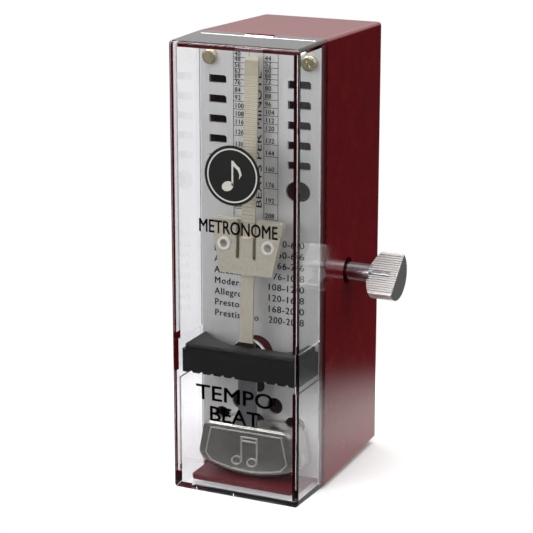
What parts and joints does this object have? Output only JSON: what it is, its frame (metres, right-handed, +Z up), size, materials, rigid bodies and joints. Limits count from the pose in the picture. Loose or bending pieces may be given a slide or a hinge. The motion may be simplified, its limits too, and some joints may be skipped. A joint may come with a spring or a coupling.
{
  "type": "metronome",
  "caption": "Pocket clockwork metronome: plastic box case, clear slide-off cover, tempo scale, pendulum with sliding weight and side winding key.",
  "frame": {"origin": "on the table plane, under the middle of the case footprint (the winding key is not counted)", "axes": "+X to the winding key side, -Y to the clear cover (front), +Z up"},
  "size_m": [0.047, 0.0518, 0.1126],
  "materials": {
    "red_abs": "gloss",
    "black_rubber": "matte",
    "satin_aluminium": "satin",
    "nickel_steel": "polished",
    "black_abs": "satin",
    "brass": "satin",
    "bright_steel": "polished",
    "spring_steel": "blued",
    "clear_styrene": "clear",
    "chromed_steel": "polished",
    "cream_enamel": "satin",
    "cast_zinc": "satin",
    "matte_nickel": "matte"
  },
  "bodies": {
    "case": {"housing": "red_abs", "base_pad": "black_rubber", "front_frame": "red_abs", "scale_plate": "satin_aluminium", "plate_screws": "nickel_steel", "bridge_bar": "black_abs", "bridge_screws": "nickel_steel", "left_plate": "brass", "right_plate": "brass", "arbor_bushes": "brass", "pillars": "bright_steel", "pillar_screws": "nickel_steel", "rear_cock": "brass", "potence": "brass", "mainspring": "spring_steel"},
    "cover": {"front_cover": "clear_styrene"},
    "pendulum": {"pendulum_arbor": "bright_steel", "hub": "chromed_steel", "rod_socket": "black_abs", "pendulum_rod": "cream_enamel", "lower_strip": "bright_steel", "lower_weight": "cast_zinc", "weight_pin": "bright_steel", "pallets": "spring_steel"},
    "slider": {"slider_front": "matte_nickel", "slider_back": "matte_nickel", "eyelets": "nickel_steel"},
    "key": {"winding_arbor": "bright_steel", "ratchet_wheel": "bright_steel", "key_grip": "satin_aluminium"},
    "great": {"great_wheel": "brass", "click": "bright_steel", "click_stud": "bright_steel", "click_spring": "spring_steel"},
    "second": {"second_arbor": "bright_steel", "second_wheel": "brass", "second_pinion": "bright_steel"},
    "escape": {"escape_arbor": "bright_steel", "escape_pinion": "bright_steel", "crown_wheel": "brass"}
  },
  "joints": [
    {"name": "cover_slide", "type": "slide", "parent": "case", "child": "cover", "axis": [0, -1, 0], "range_m": [0, 0.045]},
    {"name": "pendulum_swing", "type": "hinge", "parent": "case", "child": "pendulum", "pos_m": [0, -0.0181, 0.0346], "axis": [0, 1, 0], "range_deg": [-3, 3]},
    {"name": "weight_slide", "type": "slide", "parent": "pendulum", "child": "slider", "axis": [0, 0.0523, 0.9986], "range_m": [0, 0.038]},
    {"name": "key_turn", "type": "hinge", "parent": "case", "child": "key", "pos_m": [0, 0.0042, 0.053], "axis": [1, 0, 0], "continuous": true},
    {"name": "great_turn", "type": "hinge", "parent": "case", "child": "great", "pos_m": [0, 0.0042, 0.053], "axis": [1, 0, 0], "continuous": true},
    {"name": "second_turn", "type": "hinge", "parent": "case", "child": "second", "pos_m": [0, 0.00974, 0.04014], "axis": [1, 0, 0], "continuous": true},
    {"name": "escape_turn", "type": "hinge", "parent": "case", "child": "escape", "pos_m": [0, 0.0019, 0.0346], "axis": [1, 0, 0], "continuous": true}
  ],
  "couplings": [
    {"joint": "second_turn", "follows": "great_turn", "ratio": -6},
    {"joint": "escape_turn", "follows": "great_turn", "ratio": 30}
  ]
}
